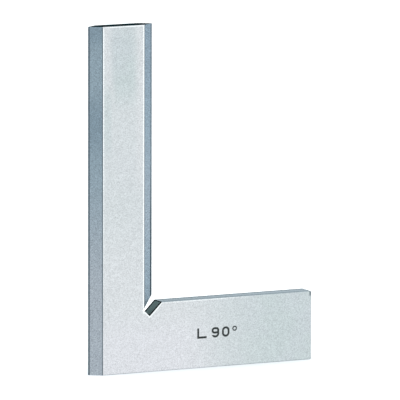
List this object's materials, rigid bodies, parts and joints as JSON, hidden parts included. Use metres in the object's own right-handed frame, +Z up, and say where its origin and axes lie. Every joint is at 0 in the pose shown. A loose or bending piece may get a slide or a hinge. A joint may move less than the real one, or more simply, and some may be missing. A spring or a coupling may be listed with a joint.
{
  "type": "bevel-edged precision square",
  "caption": "Bevel-edged steel square: an upright blade with knife edges, a flat beam at right angles, a relief slot in the inner corner and a small enamelled mark.",
  "frame": {"origin": "outer corner of the right angle: on the base, on the outer knife edge, at mid-thickness", "axes": "+X along the beam, +Z up the blade, -Y towards the front face, which carries the mark"},
  "size_m": [0.07, 0.005, 0.1],
  "materials": {
    "ground_steel": "hardened stainless steel, ground to a fine satin on the faces and lapped on the bevels",
    "mark_enamel": "dark grey-green enamel, wiped into shallow sunk strokes"
  },
  "bodies": {
    "root": {"square_body": "ground_steel", "angle_sign_enamel": "mark_enamel", "figure_nine_enamel": "mark_enamel", "figure_zero_enamel": "mark_enamel", "degree_ring_enamel": "mark_enamel"}
  },
  "joints": []
}
